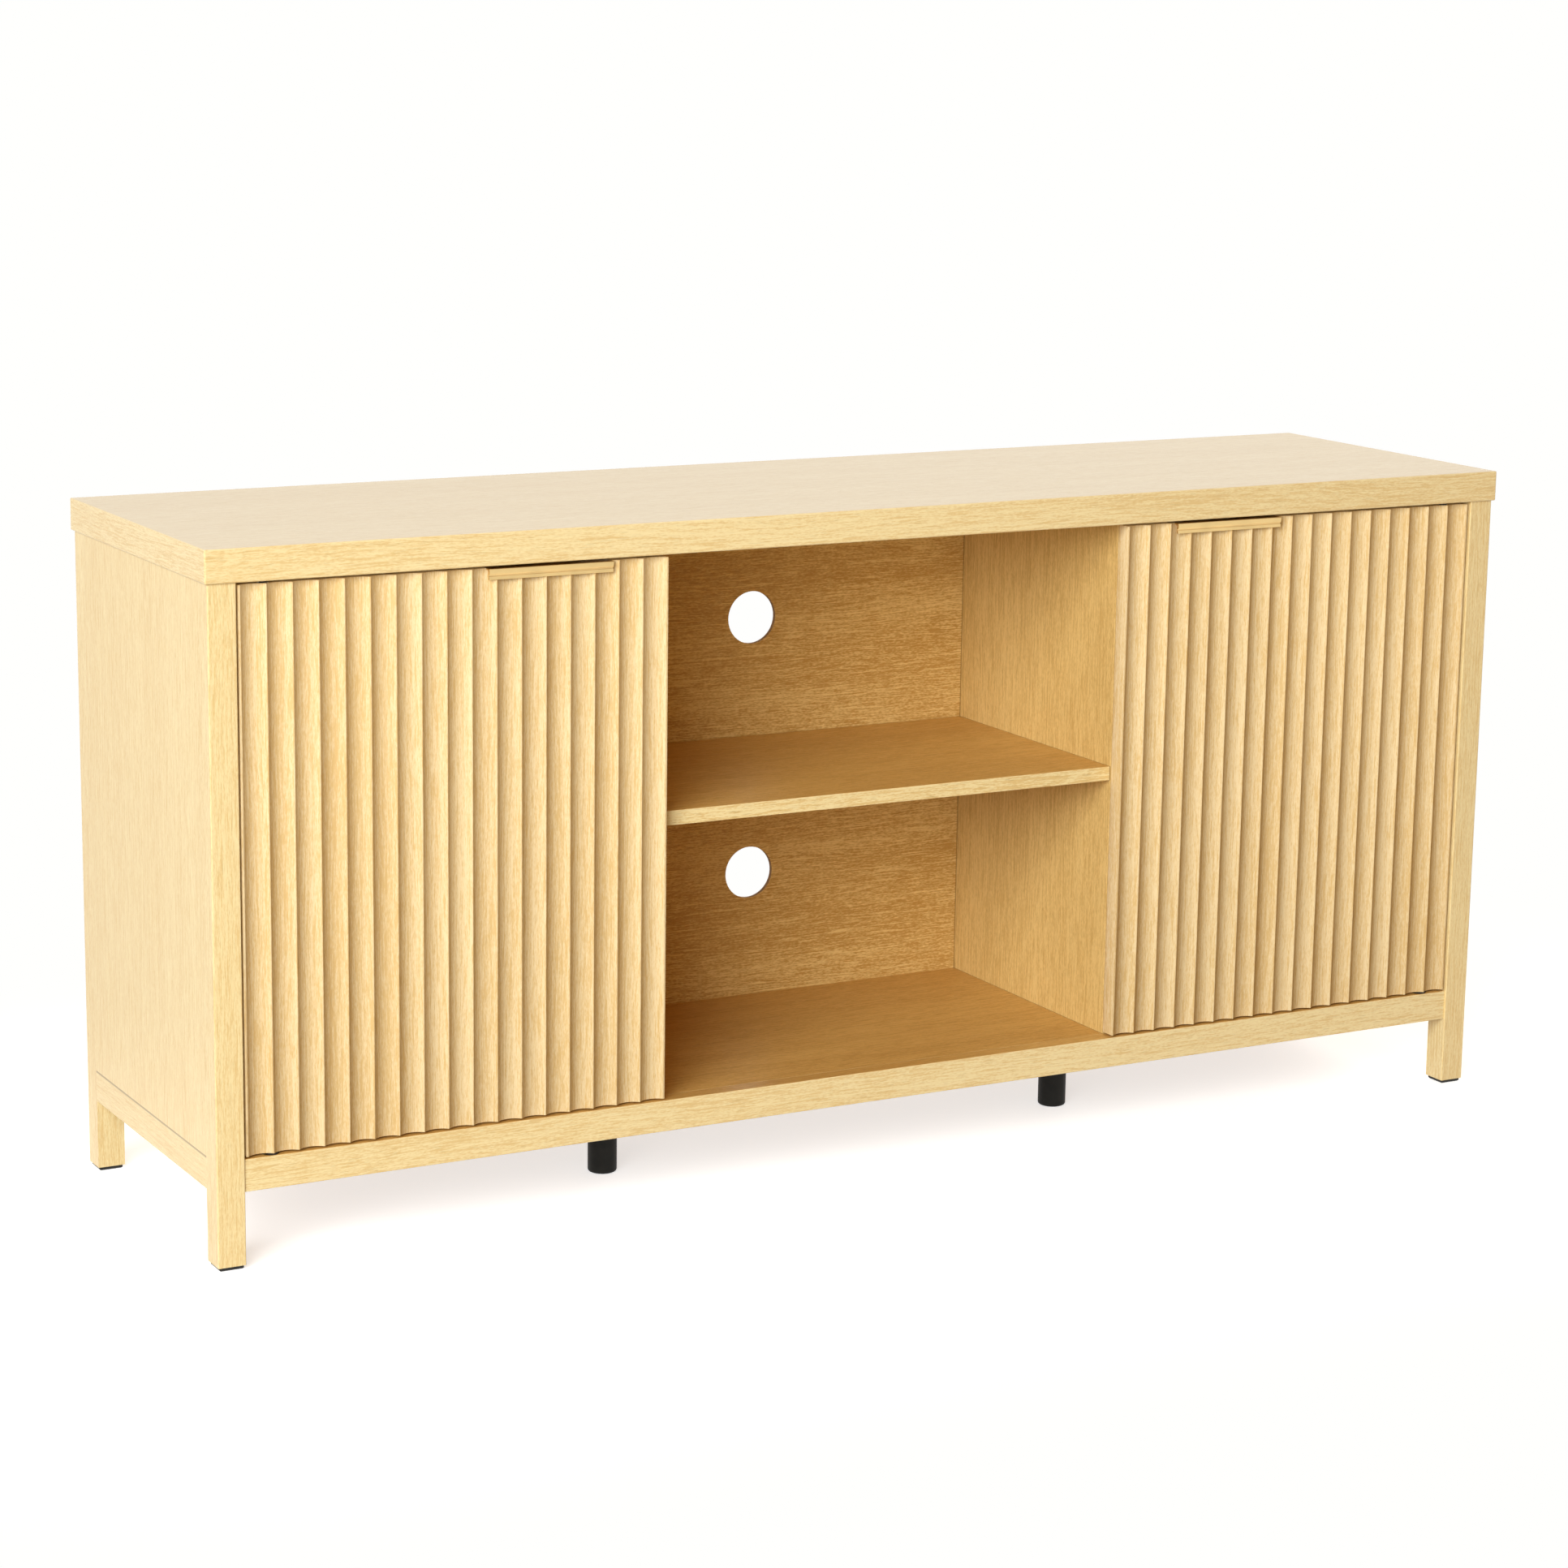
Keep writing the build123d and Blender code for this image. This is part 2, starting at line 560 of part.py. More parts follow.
# Pivots: a collared pin in the rail carries the door's lower bush
pin_radius = PIVOT_PIN / 2
bore_radius = pin_radius + PIVOT_PLAY
bush_radius = PIVOT_BUSH / 2
collar_top = DOOR_BOTTOM_GAP
save_pair(turned([(0, -LOWER_PIN_DOWN), (pin_radius, -LOWER_PIN_DOWN), (pin_radius, 0),
                  (PIVOT_COLLAR / 2, 0), (PIVOT_COLLAR / 2, collar_top), (pin_radius, collar_top),
                  (pin_radius, collar_top + LOWER_PIN_UP), (0, collar_top + LOWER_PIN_UP)], base_top),
          "lower_pivot_pin")
save_pair(turned([(bore_radius, 0), (bush_radius, 0), (bush_radius, lower_bush_length),
                  (0, lower_bush_length), (0, LOWER_PIN_UP + DOWEL_END_ROOM),
                  (bore_radius, LOWER_PIN_UP + DOWEL_END_ROOM)], door_bottom),
          "lower_pivot_bush")

# A spring pin in a sleeve in the door's top edge reaches up into a bush in the top
save_pair(turned([(0, -UPPER_PIN_DOWN), (pin_radius, -UPPER_PIN_DOWN),
                  (pin_radius, DOOR_TOP_GAP + UPPER_PIN_UP), (0, DOOR_TOP_GAP + UPPER_PIN_UP)], door_top),
          "upper_pivot_pin")
save_pair(turned([(bore_radius, 0), (bush_radius, 0), (bush_radius, -upper_sleeve_length),
                  (0, -upper_sleeve_length), (0, -UPPER_PIN_DOWN), (bore_radius, -UPPER_PIN_DOWN)],
                 door_top),
          "upper_pivot_sleeve")
save_pair(turned([(bore_radius, 0), (bush_radius, 0), (bush_radius, upper_bush_length),
                  (0, upper_bush_length), (0, UPPER_PIN_UP + DOWEL_END_ROOM),
                  (bore_radius, UPPER_PIN_UP + DOWEL_END_ROOM)], top_under),
          "upper_pivot_bush")

# Magnetic catch under the top, and the steel strike plate on the back of the door
magnet_z = (strike_z - MAGNET_HEIGHT / 2, strike_z + MAGNET_HEIGHT / 2)
magnet_x = (catch_x - MAGNET_WIDTH / 2, catch_x + MAGNET_WIDTH / 2)

with BuildPart() as left_door_catch:
    block((catch_x - catch_width / 2, catch_x + catch_width / 2),
          (catch_front, catch_front + CATCH_DEPTH), (top_under - catch_height, top_under))
    block((catch_x - catch_width / 2 - CATCH_TAB, catch_x + catch_width / 2 + CATCH_TAB),
          (catch_front, catch_front + CATCH_DEPTH), (top_under - CATCH_TAB_THICK, top_under))
    block(magnet_x, (catch_front, catch_front + MAGNET_DEPTH), magnet_z, Mode.SUBTRACT)
    screw_hole(left_catch_screws, UP)
save_pair(left_door_catch, "door_catch")

with BuildPart() as left_catch_magnet:
    block(magnet_x, (catch_front, catch_front + MAGNET_DEPTH), magnet_z)
save_pair(left_catch_magnet, "catch_magnet")
save(screws(left_catch_screws + right_catch_screws, UP), "catch_screws")

with BuildPart() as left_strike_plate:
    block((catch_x - STRIKE_WIDTH / 2, catch_x + STRIKE_WIDTH / 2),
          (door_back, door_back + STRIKE_THICK),
          (strike_z - STRIKE_HEIGHT / 2, strike_z + STRIKE_HEIGHT / 2))
    screw_hole(strike_screws, (0, -1, 0))
save_pair(left_strike_plate, "strike_plate")
save_pair(screws(strike_screws, (0, -1, 0)), "strike_screw")

# Soft dots on the dividers' front edges that the closed doors meet
with BuildPart() as door_bumpers:
    rod([(x, divider_front, z) for x in (-divider_middle, divider_middle)
         for z in (base_top + BUMPER_INSET, top_under - BUMPER_INSET)], (0, -1, 0), BUMPER, BUMPER_THICK)
save(door_bumpers, "door_bumpers")

# Dowels of every board joint
with BuildPart() as dowels:
    dowel_runs = [
        (top_post_joints + top_divider_joints, UP, DOWEL_IN_END),
        (floor_divider_joints, DOWN, DOWEL_IN_END),
    ]
    for side_sign in (-1, 1):
        sideways = (side_sign, 0, 0)
        dowel_runs.append((rail_joints(side_sign) + shelf_joints(side_sign), sideways, DOWEL_IN_END))
        for end_sign in (-1, 1):
            along = (0, end_sign, 0)
            dowel_runs.append((side_rail_joints(side_sign, end_sign), along, DOWEL_IN_END))
            dowel_runs.append((side_panel_joints(side_sign, end_sign), along, panel_dowel_in_end))
    for joint_points, face_way, depth_in_end in dowel_runs:
        rod(joint_points, face_way, DOWEL, DOWEL_IN_FACE)
        rod(joint_points, opposite(face_way), DOWEL, depth_in_end)
save(dowels, "dowels")
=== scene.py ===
"""Looks of a low oak media cabinet: finishes for its solids, finer doors and pulls, and a plain studio."""
import math

import bmesh
import bpy
from bpy.props import FloatProperty, FloatVectorProperty, IntProperty, PointerProperty
from mathutils import Matrix, Vector


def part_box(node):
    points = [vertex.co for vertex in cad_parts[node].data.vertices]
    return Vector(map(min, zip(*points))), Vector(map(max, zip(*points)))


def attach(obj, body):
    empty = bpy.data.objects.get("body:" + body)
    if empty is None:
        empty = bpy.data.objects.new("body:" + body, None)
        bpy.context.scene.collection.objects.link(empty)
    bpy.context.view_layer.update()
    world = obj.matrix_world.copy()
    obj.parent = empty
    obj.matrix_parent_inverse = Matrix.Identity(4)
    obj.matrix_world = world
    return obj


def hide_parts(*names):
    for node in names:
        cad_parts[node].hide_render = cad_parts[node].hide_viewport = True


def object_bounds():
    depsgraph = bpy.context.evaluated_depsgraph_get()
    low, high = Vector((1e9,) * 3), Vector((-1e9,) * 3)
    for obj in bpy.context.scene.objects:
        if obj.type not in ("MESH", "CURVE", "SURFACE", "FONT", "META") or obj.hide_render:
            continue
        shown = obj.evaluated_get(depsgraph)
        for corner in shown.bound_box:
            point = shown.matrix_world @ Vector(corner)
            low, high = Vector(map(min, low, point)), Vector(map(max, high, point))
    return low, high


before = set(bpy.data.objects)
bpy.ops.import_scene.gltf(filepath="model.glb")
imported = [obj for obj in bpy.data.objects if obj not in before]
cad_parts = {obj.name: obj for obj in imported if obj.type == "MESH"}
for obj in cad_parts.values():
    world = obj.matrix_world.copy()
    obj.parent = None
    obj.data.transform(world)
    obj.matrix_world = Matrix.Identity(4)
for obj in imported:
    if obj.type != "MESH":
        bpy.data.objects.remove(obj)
CAD_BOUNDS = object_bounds()

bl_info = {
    "name": "Oak media cabinet",
    "version": (1, 0, 0),
    "blender": (4, 5, 0),
    "location": "3D View > Sidebar > Cabinet",
    "description": "Finishes and fine pieces of a low media cabinet with fluted doors",
    "category": "Object",
}

SIDES = ("left", "right")
WHITE = (1.0, 1.0, 0.985)
# Width of the painted shadow line where two boards meet.
HAIRLINE = 0.0016
# How far the figure moves from one board number to the next.
BOARD_SHIFT = 0.731
# A face looks along an axis once its normal's part on that axis has passed this range.
FACING = (0.6, 0.8)
LACQUER_ROUGHNESS = 0.22
# How far a cutter reaches out of the piece that it cuts.
CUT_PAST = 0.008
SENSOR_WIDTH = 36.0
# Layers of a wood's figure: features a metre along and across the grain, and the noise's detail.
OAK_FIGURE = {
    "clouds": (1.7, 26.0, 3.0),
    "drift": (7.0, 60.0, 2.0),
    "streaks": (9.0, 190.0, 2.0),
    "fibres": (55.0, 800.0, 2.0),
    "lines": (26.0, 560.0, 1.0),
    "grit": (230.0, 1000.0, 2.0),
    "pores": (75.0, 1000.0, 1.0),
}
PRINT_FIGURE = {
    "clouds": (2.5, 24.0, 3.0),
    "drift": (9.0, 60.0, 2.0),
    "fibres": (50.0, 800.0, 2.0),
    "flecks": (24.0, 740.0, 1.0),
    "lines": (18.0, 540.0, 1.0),
    "grit": (240.0, 900.0, 2.0),
}
# Growth rings a metre.
OAK_RINGS = 230
PRINT_RINGS = 190


def colour(label, words, red, green, blue):
    """A colour that the user can change."""
    return FloatVectorProperty(name=label, description=words, subtype="COLOR", size=3, min=0.0, max=1.0,
                               default=(red, green, blue))


def length(label, words, metres):
    """A length that the user can change."""
    return FloatProperty(name=label, description=words, default=metres, min=0.0, unit="LENGTH", precision=4)


class CabinetSizes(bpy.types.PropertyGroup):
    """Sizes of the pieces that are modelled finer than their solids."""

    flute_count: IntProperty(name="Flutes", description="Flutes across one door", default=17, min=1)
    flute_depth: length("Flute depth", "Depth of a flute below the door's front", 0.005)
    ridge_land: length("Ridge land", "Flat width between two flutes", 0.0008)
    edge_land: length("Edge land", "Flat width beside the first and the last flute", 0.002)
    door_ease: length("Door ease", "Rounding of the door's edges and ridges", 0.0003)
    pull_flange: length("Pull flange", "Thickness of the flange let into the door's top edge", 0.0015)
    pull_bead: length("Pull bead", "Height of the pull's rounded bead", 0.006)
    pull_groove: length("Pull groove", "Width and depth of the groove under the bead", 0.0012)
    pull_lip_proud: length("Pull lip", "How far the lip stands in front of the door", 0.002)
    pull_bead_proud: length("Pull bead reach", "How far the bead stands in front of the door", 0.003)
    pull_ease: length("Pull ease", "Rounding of the pull's edges", 0.0002)
    screw_head: length("Screw head", "Diameter of a countersunk head", 0.006)
    screw_shank: length("Screw shank", "Diameter of a screw below its head", 0.003)
    seat_play: length("Seat play", "Room around a piece that is let into another", 0.00005)


class CabinetColours(bpy.types.PropertyGroup):
    """Colours of the finishes."""

    # The slab's upper face is painted paler than its front wood: a painted sheen.
    top_sheen_light: colour("Top, light", "Light wood of the slab's upper face", 0.93, 0.80, 0.48)
    top_sheen_dark: colour("Top, dark", "Dark wood of the slab's upper face", 0.80, 0.62, 0.31)
    front_light: colour("Front, light", "Light wood of edges, posts, rails and sides", 0.865, 0.725, 0.39)
    front_dark: colour("Front, dark", "Dark wood of edges, posts, rails and sides", 0.74, 0.54, 0.232)
    door_light: colour("Door, light", "Light wood of the doors", 0.80, 0.65, 0.385)
    door_dark: colour("Door, dark", "Dark wood of the doors", 0.675, 0.475, 0.208)
    # Dividers take a darker, browner copy of the front wood: painted shade.
    shaded_divider_light: colour("Divider, light", "Light wood of the dividers", 0.735, 0.51, 0.192)
    shaded_divider_dark: colour("Divider, dark", "Dark wood of the dividers", 0.555, 0.357, 0.115)
    # Shelves and floor take a darker, browner copy of the front wood: painted shade.
    shaded_inside_light: colour("Inside, light", "Light wood of shelves and floor", 0.69, 0.42, 0.123)
    shaded_inside_dark: colour("Inside, dark", "Dark wood of shelves and floor", 0.55, 0.307, 0.08)
    back_light: colour("Back, light", "Light wood of the thin backs", 0.81, 0.58, 0.23)
    back_dark: colour("Back, dark", "Dark wood of the thin backs", 0.52, 0.295, 0.078)
    raw_board: colour("Raw board", "Unfaced rear of the thin backs", 0.46, 0.305, 0.175)
    brass: colour("Brass", "Satin brass of the pulls", 0.88, 0.625, 0.275)
    black: colour("Black", "Support legs and pads", 0.008, 0.008, 0.007)
    nylon: colour("Nylon", "Bushes and catches", 0.80, 0.79, 0.75)
    zinc: colour("Zinc", "Plated plates, shelf pins and screws", 0.60, 0.60, 0.61)
    pin_steel: colour("Pin steel", "Blackened steel of the pivot pins", 0.045, 0.04, 0.036)
    ferrite: colour("Ferrite", "Magnets", 0.06, 0.06, 0.065)
    gel: colour("Gel", "Soft dots that the doors meet", 0.72, 0.73, 0.72)
    beech: colour("Beech", "Dowels", 0.62, 0.42, 0.23)


class CabinetStage(bpy.types.PropertyGroup):
    """Camera, lamps and floor."""

    camera_place: FloatVectorProperty(name="Camera", description="Where the camera stands", size=3,
                                      subtype="TRANSLATION", unit="LENGTH",
                                      default=(-1.9193, -3.4438, 1.2014))
    camera_azimuth: FloatProperty(name="Azimuth", description="Turn of the view about the upright",
                                  subtype="ANGLE", default=math.radians(-28.711))
    camera_elevation: FloatProperty(name="Elevation", description="How far the camera looks down",
                                    subtype="ANGLE", default=math.radians(11.933))
    camera_roll: FloatProperty(name="Roll", description="Turn of the picture about the line of sight",
                               subtype="ANGLE", default=math.radians(0.825))
    camera_lens: FloatProperty(name="Lens", description="Focal length on a 36 mm wide picture",
                               default=88.01, min=1.0, subtype="DISTANCE_CAMERA")
    key_place: FloatVectorProperty(name="Key lamp", description="Where the large lamp hangs", size=3,
                                   subtype="TRANSLATION", unit="LENGTH", default=(-4.8, -4.4, 2.6))
    key_power: FloatProperty(name="Key power", description="Power of the large lamp",
                             default=620.0, min=0.0, unit="POWER")
    key_colour: colour("Key colour", "Colour of the large lamp", 0.93, 0.965, 1.0)
    rear_place: FloatVectorProperty(name="Rear lamp", description="Where the lamp behind the cabinet hangs",
                                    size=3, subtype="TRANSLATION", unit="LENGTH", default=(4.4, 4.1, 1.9))
    rear_power: FloatProperty(name="Rear power", description="Power of the lamp behind the cabinet",
                              default=340.0, min=0.0, unit="POWER")
    lamp_size: length("Lamp size", "Diameter of a lamp", 4.7)
    fill_colour: colour("Fill", "Soft light of the room around the cabinet", 0.30, 0.172, 0.052)
    floor_fade: length("Floor fade", "How far from the cabinet the floor turns white", 0.7)
    floor_colour: colour("Floor", "Pale studio floor", 0.86, 0.86, 0.85)
    floor_bounce: colour("Floor bounce", "Colour of the light that the floor throws back",
                         0.36, 0.275, 0.155)
    floor_glow: FloatProperty(name="Floor glow", description="Light that the floor shows of itself",
                              default=0.62, min=0.0)


class Wire:
    """A shader socket that takes part in arithmetic: each operation adds one Math node."""

    def __init__(self, finish, socket):
        self.finish = finish
        self.socket = socket

    def __add__(self, other):
        return self.finish.math("ADD", self, other)

    __radd__ = __add__

    def __sub__(self, other):
        return self.finish.math("SUBTRACT", self, other)

    def __rsub__(self, other):
        return self.finish.math("SUBTRACT", other, self)

    def __mul__(self, other):
        return self.finish.math("MULTIPLY", self, other)

    __rmul__ = __mul__

    def __abs__(self):
        return self.finish.math("ABSOLUTE", self)


class Finish:
    """A node tree in the making, of a material or of the world."""

    def __init__(self, owner):
        self.owner = owner
        owner.use_nodes = True
        self.tree = owner.node_tree
        self.tree.nodes.clear()

    def node(self, kind, settings=None, sockets=None, output=0):
        """Add a node, set it up, feed its sockets and return one of its outputs."""
        made = self.tree.nodes.new(kind)
        for name, value in (settings or {}).items():
            setattr(made, name, value)
        for name, value in (sockets or {}).items():
            if isinstance(value, Wire):
                self.tree.links.new(value.socket, made.inputs[name])
            else:
                made.inputs[name].default_value = value
        return Wire(self, made.outputs[output]) if made.outputs else made

    def math(self, operation, first, second=0.0):
        return self.node("ShaderNodeMath", {"operation": operation}, {0: first, 1: second})

    def step(self, value, start, end):
        """0 below start, 1 above end, and a smooth rise between them."""
        return self.node("ShaderNodeMapRange", {"interpolation_type": "SMOOTHSTEP"},
                         {"Value": value, "From Min": start, "From Max": end})

    def mix(self, factor, first, second):
        """A colour between two colours."""
        return self.node("ShaderNodeMix", {"data_type": "RGBA"},
                         {0: factor, 6: shade(first), 7: shade(second)}, 2)

    def split(self, vector):
        """The three parts of a vector."""
        first = self.node("ShaderNodeSeparateXYZ", None, {0: vector})
        return [Wire(self, part) for part in first.socket.node.outputs]

    def noise(self, place, density, detail=2.0):
        """Noise of so many features a metre on each axis."""
        scaled = self.node("ShaderNodeVectorMath", {"operation": "MULTIPLY"}, {0: place, 1: density})
        return self.node("ShaderNodeTexNoise", None, {"Vector": scaled, "Scale": 1.0, "Detail": detail})

    def figure(self, grain, layers):
        """One noise for each layer of a wood's figure."""
        return {name: self.noise(grain, (along, across, across), detail)
                for name, (along, across, detail) in layers.items()}

    def bump(self, height, distance):
        return self.node("ShaderNodeBump", None, {"Height": height, "Distance": distance, "Strength": 1.0})

    def surface(self, **sockets):
        """Close a material with a Principled shader."""
        named = {name.replace("_", " "): value for name, value in sockets.items()}
        shader = self.node("ShaderNodeBsdfPrincipled", None, named)
        self.node("ShaderNodeOutputMaterial", None, {"Surface": shader})
        return self.owner


def shade(value):
    """A colour socket's four numbers from three."""
    return value if isinstance(value, Wire) else (*value, 1.0)


def material(name):
    return Finish(bpy.data.materials.new(name))


def oak(name, light, dark, along, board, contrast=1.0, end_bands=False, strips=None, edge=None, seam=None,
        sheen=0.6, calm=0.0, gloss=0.5, upper=None, joint=None):
    """Oak veneer with its grain along one axis; each board number gets other figure.

    contrast is how strong the figure shows.
    end_bands turns the grain on the faces that look along X, as edge banding does.
    strips is the start and pitch of upright strips that differ a little in tone.
    edge is the light and dark wood of a band on the faces that look to the front.
    seam is how far from the middle the board meets the dividers, in a hairline of painted contact shadow.
    joint is the height of the upper edge, where the board meets the next one in a line of painted shadow.
    upper is the light and dark wood of the faces that look up: a paler copy there is a painted sheen, a
    darker copy a painted shade.
    calm is how much of the figure is lost on faces that look up.
    sheen is the lacquer's weight and gloss the bare wood's own reflection.
    """
    finish = material(name)
    place = finish.node("ShaderNodeTexCoord", output="Object")
    facing = finish.split(finish.node("ShaderNodeTexCoord", output="Normal"))
    parts = finish.split(place)
    x, y, z = (part + BOARD_SHIFT * board for part in parts)
    run, across, through = {"X": (x, y, z), "Y": (y, x, z), "Z": (z, x, y)}[along]
    if end_bands:
        end = finish.step(abs(facing[0]), *FACING)
        run, across = run + (across - run) * end, across + (run - across) * end
    straight = finish.node("ShaderNodeCombineXYZ", None, {0: run, 1: across, 2: through})
    sway = finish.noise(straight, (2.6, 13.0, 13.0)) - 0.5
    across = across + 0.016 * sway
    through = through + 0.016 * sway
    grain = finish.node("ShaderNodeCombineXYZ", None, {0: run, 1: across, 2: through})
    layers = finish.figure(grain, OAK_FIGURE)
    rings = finish.math("SINE", (across + 0.7 * through) * (math.tau * OAK_RINGS) + 11.0 * layers["drift"])
    clouds, streaks, fibres, grit = (layers[name] - 0.5 for name in ("clouds", "streaks", "fibres", "grit"))
    lines = finish.step(layers["lines"], 0.50, 0.72)
    pores = finish.step(layers["pores"], 0.58, 0.74)
    tone = 0.9 * clouds + 0.10 * rings + 0.6 * streaks + 1.5 * fibres + 0.5 * lines + 1.7 * grit - 0.12
    if strips:
        start, pitch = strips
        strip = finish.math("FLOOR", (parts[0] - start) * (1 / pitch))
        lot = finish.node("ShaderNodeTexWhiteNoise", {"noise_dimensions": "1D"},
                          {"W": strip + 0.37 * board})
        tone = tone + 0.2 * (lot - 0.5)
    up = finish.step(facing[2], *FACING)
    depth = finish.step(0.5 + contrast * tone * (1.0 - calm * up), 0.0, 1.0)
    wood = finish.mix(depth, light, dark)
    # Faces that look up take the given wood, paler for a painted sheen, darker for a painted shade.
    if upper:
        wood = finish.mix(up, wood, finish.mix(depth, *upper))
    if edge:
        front = finish.step(-1.0 * facing[1], *FACING)
        wood = finish.mix(front, wood, finish.mix(depth, *edge))
    # Dark pores and the painted shadow lines below share this colour.
    pore_and_shadow_tone = [0.5 * channel for channel in dark]
    wood = finish.mix(0.2 * contrast * pores, wood, pore_and_shadow_tone)
    # Painted contact shadow in a hairline where the board meets the dividers.
    if seam:
        wood = finish.mix(hairline(finish, parts[0], seam), wood, pore_and_shadow_tone)
    # Painted shadow of the joint's gap along the board's upper edge.
    if joint:
        line = finish.step(parts[2], joint - 1.6 * HAIRLINE, joint - 0.8 * HAIRLINE)
        wood = finish.mix(line, wood, pore_and_shadow_tone)
    height = fibres + 0.05 * rings - 0.25 * pores
    return finish.surface(Base_Color=wood, Roughness=0.44 + 0.3 * fibres + 0.1 * pores,
                          Specular_IOR_Level=gloss, Normal=finish.bump(height, 0.00014),
                          Coat_Weight=sheen, Coat_Roughness=LACQUER_ROUGHNESS)


def hairline(finish, x, reach):
    """1 in a line just inside a distance from the middle, 0 elsewhere."""
    return finish.step(abs(x), reach - HAIRLINE, reach) * finish.math("LESS_THAN", abs(x), reach)


def raw_rear(name, light, dark, raw, board, seam=None):
    """Thin back: printed oak in front, bare fibreboard behind, and a hairline of painted contact shadow
    beside the dividers.
    """
    finish = material(name)
    place = finish.node("ShaderNodeTexCoord", output="Object")
    facing = finish.split(finish.node("ShaderNodeTexCoord", output="Normal"))
    bare = finish.step(facing[1], -0.7, -0.5)
    shift = (BOARD_SHIFT * board,) * 3
    shifted = finish.node("ShaderNodeVectorMath", {"operation": "ADD"}, {0: place, 1: shift})
    sway = finish.noise(shifted, (5.0, 20.0, 20.0)) - 0.5
    x, y, z = finish.split(shifted)
    up = z + 0.012 * sway
    grain = finish.node("ShaderNodeCombineXYZ", None, {0: x, 1: y, 2: up})
    layers = finish.figure(grain, PRINT_FIGURE)
    rings = finish.math("SINE", up * (math.tau * PRINT_RINGS) + 14.0 * layers["drift"])
    clouds, fibres, grit = (layers[name] - 0.5 for name in ("clouds", "fibres", "grit"))
    flecks = finish.step(layers["flecks"], 0.56, 0.72)
    lines = finish.step(layers["lines"], 0.55, 0.74)
    tone = 0.6 + 1.2 * clouds + 0.06 * rings + 1.5 * fibres + 0.3 * lines - 0.5 * flecks + 1.7 * grit
    wood = finish.mix(finish.step(tone, 0.0, 1.0), light, dark)
    # Painted contact shadow in a hairline where the back meets the dividers.
    if seam:
        line = hairline(finish, finish.split(place)[0], seam)
        wood = finish.mix(line, wood, [0.5 * channel for channel in dark])
    felt = finish.noise(shifted, (380.0, 380.0, 380.0), 4.0)
    board_face = finish.mix(finish.step(felt, 0.25, 0.75), raw, [0.72 * channel for channel in raw])
    height = fibres + 0.4 * flecks
    return finish.surface(Base_Color=finish.mix(bare, wood, board_face), Roughness=0.46 + 0.3 * bare,
                          Specular_IOR_Level=0.2, Normal=finish.bump(height, 0.0003))


def satin_brass(name, tint):
    """Brass brushed along the pull."""
    finish = material(name)
    place = finish.node("ShaderNodeTexCoord", output="Object")
    brushing = finish.noise(place, (30.0, 4000.0, 4000.0), 3.0)
    clouds = finish.noise(place, (40.0, 90.0, 90.0))
    metal = finish.mix(finish.step(clouds, 0.3, 0.7), tint, [0.88 * channel for channel in tint])
    return finish.surface(Base_Color=metal, Metallic=1.0, Roughness=0.26 + 0.16 * brushing,
                          Normal=finish.bump(brushing, 0.00002))


def powder_black(name, tint):
    """Fine black powder coat, with dust-grey variation."""
    finish = material(name)
    place = finish.node("ShaderNodeTexCoord", output="Object")
    grit = finish.noise(place, (2600.0, 2600.0, 2600.0), 2.0)
    clouds = finish.noise(place, (60.0, 60.0, 60.0), 3.0)
    paint = finish.mix(finish.step(clouds, 0.3, 0.8), tint, [2.0 * channel for channel in tint])
    return finish.surface(Base_Color=paint, Roughness=0.42 + 0.2 * grit, Specular_IOR_Level=0.2,
                          Normal=finish.bump(grit, 0.00006))


def moulded(name, tint, roughness):
    """Moulded plastic with a faint grain."""
    finish = material(name)
    place = finish.node("ShaderNodeTexCoord", output="Object")
    clouds = finish.noise(place, (140.0, 140.0, 140.0), 2.0)
    grit = finish.noise(place, (1800.0, 1800.0, 1800.0), 2.0)
    plastic = finish.mix(finish.step(clouds, 0.3, 0.7), tint, [0.93 * channel for channel in tint])
    return finish.surface(Base_Color=plastic, Roughness=roughness + 0.1 * grit,
                          Normal=finish.bump(grit, 0.00003))


def zinc_plate(name, tint):
    """Bright zinc with its faint cloudy spangle."""
    finish = material(name)
    place = finish.node("ShaderNodeTexCoord", output="Object")
    spangle = finish.noise(place, (420.0, 420.0, 420.0), 3.0)
    scuff = finish.noise(place, (2400.0, 300.0, 2400.0), 2.0)
    metal = finish.mix(finish.step(spangle, 0.3, 0.7), tint, [0.8 * channel for channel in tint])
    return finish.surface(Base_Color=metal, Metallic=1.0, Roughness=0.28 + 0.18 * scuff,
                          Normal=finish.bump(scuff, 0.00002))


def coat(finish, *nodes):
    """Give solids of the frame a finish."""
    for node in nodes:
        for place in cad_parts[node].material_slots:
            place.material = finish


def pair(name):
    return [f"{side}_{name}" for side in SIDES]


def place_piece(name, shape, finish, body, slot_name, *nodes):
    """Turn a bmesh into a piece that rides on a body and stands for solids of the frame."""
    mesh = bpy.data.meshes.new(name)
    bmesh.ops.recalc_face_normals(shape, faces=shape.faces)
    shape.to_mesh(mesh)
    shape.free()
    piece = bpy.data.objects.new(name, mesh)
    bpy.context.scene.collection.objects.link(piece)
    mesh.materials.append(finish)
    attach(piece, body)
    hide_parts(*nodes)
    return piece


def smooth(piece, angle=30.0):
    """Smooth shading that keeps edges sharper than the angle."""
    piece.data.polygons.foreach_set("use_smooth", [True] * len(piece.data.polygons))
    piece.data.set_sharp_from_angle(angle=math.radians(angle))


